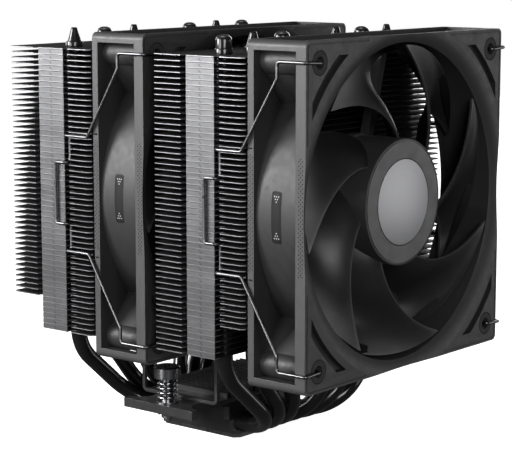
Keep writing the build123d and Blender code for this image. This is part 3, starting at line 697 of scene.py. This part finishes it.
def build_frame_marks(word, y):
    """The dots along both flanges, real marks whose near-black colour is painted shade for their recesses,
    the step marks in the same colour, and the tag on each side.
    """
    marks, tags = Shape(), Shape()
    for side in (-1, 1):
        def on_flange(depth, z, w, s=side):
            return (s * (HALF - 0.28 + w), y + depth, FAN_Z - HALF + z)

        def on_barrel(depth, rise, lift, s=side):
            angle, radius = rise / BARREL_R, BARREL_R + lift
            return (s * radius * cos(angle), y + TAG_DEPTH + depth, FAN_Z + radius * sin(angle))

        for centre in FLANGE_MIDDLES:
            for row in range(DOT_ROWS):
                for k in range(DOT_COLUMN):
                    z = DOT_START + DOT_PITCH * k + (DOT_PITCH / 2 if row % 2 else 0)
                    dot = circle(centre + (row - 1) * DOT_ROW_PITCH, z, DOT_R, 8)
                    marks.slab(dot, [], 0.0, 0.30, on_flange, bevel=0.03)
        for z in STEP_MARKS:
            step = rectangle(0.9, 0.25, 0.1, 2, FLANGE_MIDDLES[1], z)
            marks.slab(step, [], 0.0, 0.31, on_flange, bevel=0.03)

        straight = TAG_HALF_LENGTH - TAG_CORNER
        ends = [straight + share * TAG_CORNER for share in (0.1, 0.6, 0.9, 1.0)]
        stations = [-rise for rise in reversed(ends)] + list(range(-7, 8)) + ends
        rings = []
        for rise in stations:
            turned = max(0.0, abs(rise) - straight)
            half = TAG_HALF_WIDTH - TAG_CORNER + sqrt(max(0.0, TAG_CORNER ** 2 - turned ** 2))
            rings.append([on_barrel(depth, rise, lift) for depth, lift in
                          ((-half, -0.3), (-half, 0.02), (-half + 0.1, 0.08), (half - 0.1, 0.08),
                           (half, 0.02), (half, -0.3))])
        tags.rings(rings, caps=(True, True))
        # A triangle of light dots at each end of the tag: rows of three, two and one.
        for end in (-1, 1):
            for row in range(3):
                rise = end * (TAG_DOT_REACH - row * TAG_DOT_PITCH)
                for k in range(3 - row):
                    dot = circle((k - (2 - row) / 2) * TAG_DOT_PITCH, rise, TAG_DOT_R, 10)
                    base, top = ([on_barrel(u, v, lift) for u, v in dot] for lift in (0.0, 0.1))
                    tags.rings([base, top], kind=1, caps=(True, True))
    marks.make(f"{word}_frame_marks", M["mark"], f"{word}_fan", "frame_plastic")
    tags.make(f"{word}_side_tags", [M["tag"], M["dot"]], f"{word}_fan", "frame_plastic")


def build_clip(word, y, side, name):
    """A bent wire: hooked in two corner holes, sloping back to a groove of the fins, with a grip."""
    out = HALF + WIRE_GAP + WIRE_R
    groove = TOWERS["front"][0].y - FANS["front"] + (GROOVE_START + GROOVE_END) / 2
    sunk = out - WIRE_SINK
    front = -(WIRE_R + 0.4)
    side_height = HOLE_OFFSET + 0.4
    half = [(HOLE_OFFSET, 1.4, HOLE_OFFSET), (HOLE_OFFSET, front, HOLE_OFFSET), (out, front, side_height),
            (out, CLIP_SLOPE_START, side_height), (out, CLIP_SLOPE_START, CLIP_KNEE),
            (out, CLIP_SLOPE_END, CLIP_SHOULDER), (out, groove, CLIP_SHOULDER), (sunk, groove, CLIP_SHOULDER),
            (sunk, groove, CLIP_LOOP), (out, groove, CLIP_LOOP), (out, groove + CLIP_GRIP, CLIP_LOOP)]
    whole = half + [(x, depth, -height) for x, depth, height in reversed(half)]
    points = [(side * x, y + depth, FAN_Z + height) for x, depth, height in whole]
    clip = Shape()
    clip.tube(fillet_path(points, [0] + CLIP_BENDS + CLIP_BENDS[::-1] + [0], 8), WIRE_R, sides=20)
    clip.make(f"{word}_wire_{name}", M["wire"], f"{word}_{name}_clip", "wire_steel",
              [f"{word}_fan_clip_{name}"])


def build_fan(word, y):
    """One fan whose front face is at y; its frame and motor are the CAD's own shapes."""
    build_impeller(word, y)
    build_frame_marks(word, y)
    build_clip(word, y, -1, "left")
    build_clip(word, y, 1, "right")
    # The outermost side faces get the lighter copy of the plastic as a painted highlight.
    repaint(f"{word}_fan_frame", "frame", "flange", HALF - 0.1)
    for part, key in (("corner_pads", "rubber"), ("rotor_cup", "core"),
                      ("magnet", "magnet"), ("shaft", "steel"), ("lock_ring", "board"),
                      ("bearing", "bronze"), ("stator_core", "core"), ("coils", "copper"),
                      ("motor_board", "board"), ("label", "film")):
        repaint(f"{word}_fan_{part}", key)


# ======================= base =======================


def build_base():
    """The base keeps the CAD's own shapes; only the coil springs are made again."""
    for node, key in (("cold_plate", "plate"), ("base_block", "base"), ("pipe_clamp", "base"),
                      ("mounting_bar", "bar"), ("bar_screws", "steel"), ("base_fins", "base"),
                      ("support_bracket_left", "bar"), ("support_bracket_right", "bar")):
        repaint(node, key)
    for word in ("left", "right"):
        for part in ("spring_screw", "retaining_ring", "spring_washer"):
            repaint(f"{part}_{word}", "steel")
        build_spring(word)


def build_spring(word):
    """A coil spring that rides on the plunger of its screw."""
    low, high = box_mm(f"spring_{word}")
    x = (low.x + high.x) / 2
    radius = (high.x - low.x) / 2 - SPRING_WIRE_R
    start, rise = low.z + SPRING_WIRE_R, high.z - low.z - 2 * SPRING_WIRE_R
    path = []
    for k in range(SPRING_STEPS + 1):
        share = k / SPRING_STEPS
        angle = 2 * pi * SPRING_TURNS * share
        path.append((x + radius * cos(angle), radius * sin(angle), start + rise * share))
    coil = Shape()
    coil.tube(path, SPRING_WIRE_R, sides=14)
    obj = coil.make(f"coil_{word}", M["spring"], f"{word}_plunger", "spring_steel", [f"spring_{word}"])
    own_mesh(obj)


# ======================= studio =======================


def build_floor():
    """A pale floor that curves up far away, so that no horizon shows."""
    points = [(radius * cos(2 * pi * i / FLOOR_SIDES), radius * sin(2 * pi * i / FLOOR_SIDES), z)
              for radius, z in FLOOR_PROFILE for i in range(FLOOR_SIDES)]
    faces = []
    for k in range(len(FLOOR_PROFILE) - 1):
        for i in range(FLOOR_SIDES):
            j = (i + 1) % FLOOR_SIDES
            here, above = k * FLOOR_SIDES, (k + 1) * FLOOR_SIDES
            faces.append((here + i, here + j, above + j, above + i))
    mesh = bpy.data.meshes.new("floor")
    mesh.from_pydata(points, [], faces)
    m, _, shader = node_tree("studio_floor")
    shader.inputs["Base Color"].default_value = (0.86, 0.86, 0.86, 1)
    shader.inputs["Roughness"].default_value = 0.9
    shader.inputs["Emission Color"].default_value = (1, 1, 1, 1)
    shader.inputs["Emission Strength"].default_value = FLOOR_GLOW
    mesh.materials.append(m)
    floor = link("floor", mesh)
    # The glow is for the camera only: it lights nothing and shows in no reflection.
    floor.visible_diffuse = False
    floor.visible_glossy = False
    floor.visible_shadow = False


def build_studio():
    """Floor, soft lights and the camera at the object's left front."""
    build_floor()
    scene = bpy.context.scene
    world = bpy.data.worlds.new("studio")
    world.use_nodes = True
    background = world.node_tree.nodes["Background"]
    background.inputs["Color"].default_value = (0.95, 0.96, 1.0, 1)
    background.inputs["Strength"].default_value = WORLD_STRENGTH
    scene.world = world

    for name, place, width, height, watts in LIGHTS:
        data = bpy.data.lights.new(name, "AREA")
        data.shape = "RECTANGLE"
        data.size, data.size_y, data.energy = width, height, watts
        lamp = link(name, data)
        lamp.location = place
        lamp.rotation_euler = (Vector(LIGHT_TARGET) - lamp.location).to_track_quat("-Z", "Y").to_euler()

    data = bpy.data.cameras.new("camera")
    data.sensor_width = SENSOR_WIDTH
    data.lens = CAMERA_LENS
    data.clip_start, data.clip_end = 0.01, 100
    camera = link("camera", data)
    camera.location = CAMERA_PLACE
    camera.rotation_euler = Vector(CAMERA_AIM).to_track_quat("-Z", "Y").to_euler()
    scene.camera = camera
    scene.view_settings.view_transform = "Standard"


build_fins("front", -PIPE_ROW_Y, (GROOVE_END, TOWER_DEPTH))
build_fins("rear", PIPE_ROW_Y, (0.0, NOTCH_START))
for pipe_index in range(len(PIPE_X)):
    build_pipe(pipe_index)
for fan_word, fan_y in FANS.items():
    build_fan(fan_word, fan_y)
build_base()
build_studio()
